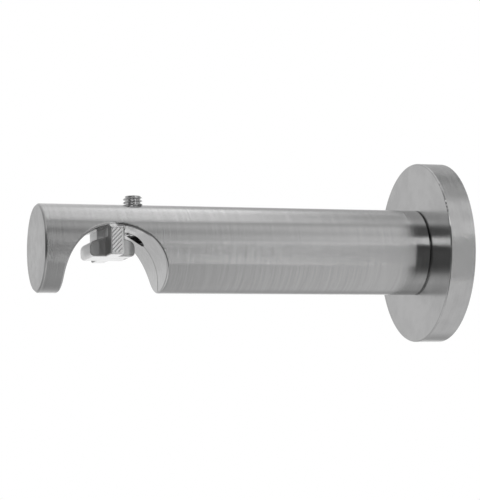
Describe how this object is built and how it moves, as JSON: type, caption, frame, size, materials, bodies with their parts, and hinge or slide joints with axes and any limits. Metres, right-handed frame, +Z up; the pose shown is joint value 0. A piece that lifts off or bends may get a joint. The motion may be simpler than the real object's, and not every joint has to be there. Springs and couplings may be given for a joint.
{
  "type": "curtain pole bracket",
  "caption": "Round wall bracket with a rose and an open seat from below, where a T-shaped key hooks a slotted curtain pole and a set screw clamps it.",
  "frame": {"origin": "centre of the rose's wall face", "axes": "+X into the wall, so the arm runs along -X; +Z up; the pole lies along Y"},
  "size_m": [0.0878, 0.038, 0.038],
  "materials": {
    "brushed_nickel": "turned and brushed round the arm, smooth in the seat",
    "satin_nickel": "fine satin that still mirrors the arm",
    "screw_steel": "bright machined thread"
  },
  "bodies": {
    "bracket": {"arm": "brushed_nickel", "wall_rose": "satin_nickel"},
    "screw": {"clamp_screw": "screw_steel"}
  },
  "joints": [
    {"name": "clamp_screw_travel", "type": "slide", "parent": "bracket", "child": "screw", "axis": [0, 0, 1], "range_m": [-0.0013, 0.003]}
  ]
}
